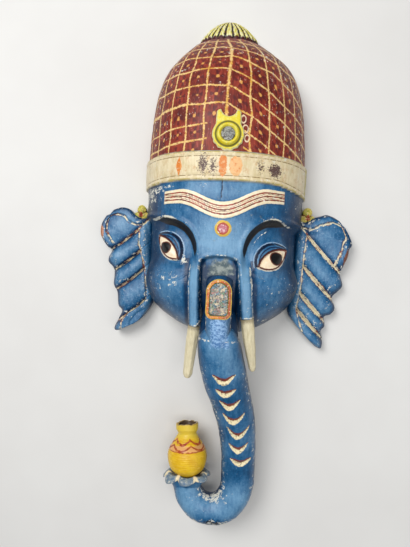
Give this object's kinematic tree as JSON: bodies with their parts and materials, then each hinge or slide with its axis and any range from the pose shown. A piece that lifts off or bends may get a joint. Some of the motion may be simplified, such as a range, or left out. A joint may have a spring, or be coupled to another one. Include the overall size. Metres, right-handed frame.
{
  "type": "carved elephant mask",
  "caption": "Carved, painted elephant-headed mask with a tall domed crown, fluted ears, short tusks and a hooked trunk that holds a small pot; hollow behind the face.",
  "frame": {"origin": "middle of the bounding box, in the plane of the flat back rim that the mask lies on", "axes": "+Z the way the face looks, +Y up the face to the crown, +X to the right of someone who looks at the face"},
  "size_m": [0.3868, 0.769, 0.1489],
  "materials": {
    "head_paint": "worn gloss paint over gesso on carved wood",
    "ear_paint": "worn gloss paint over gesso on carved wood",
    "trunk_paint": "worn gloss paint over gesso on carved wood",
    "pot_paint": "worn gloss paint on turned wood",
    "tusk_paint": "matt, worn, bone-coloured paint",
    "mirror_glass": "old spotted mirror glass"
  },
  "bodies": {
    "root": {"head": "head_paint", "ear_left": "ear_paint", "ear_right": "ear_paint", "trunk": "trunk_paint", "pot": "pot_paint", "tusk_left": "tusk_paint", "tusk_right": "tusk_paint", "crown_mirror": "mirror_glass", "trunk_mirror": "mirror_glass"}
  },
  "joints": []
}
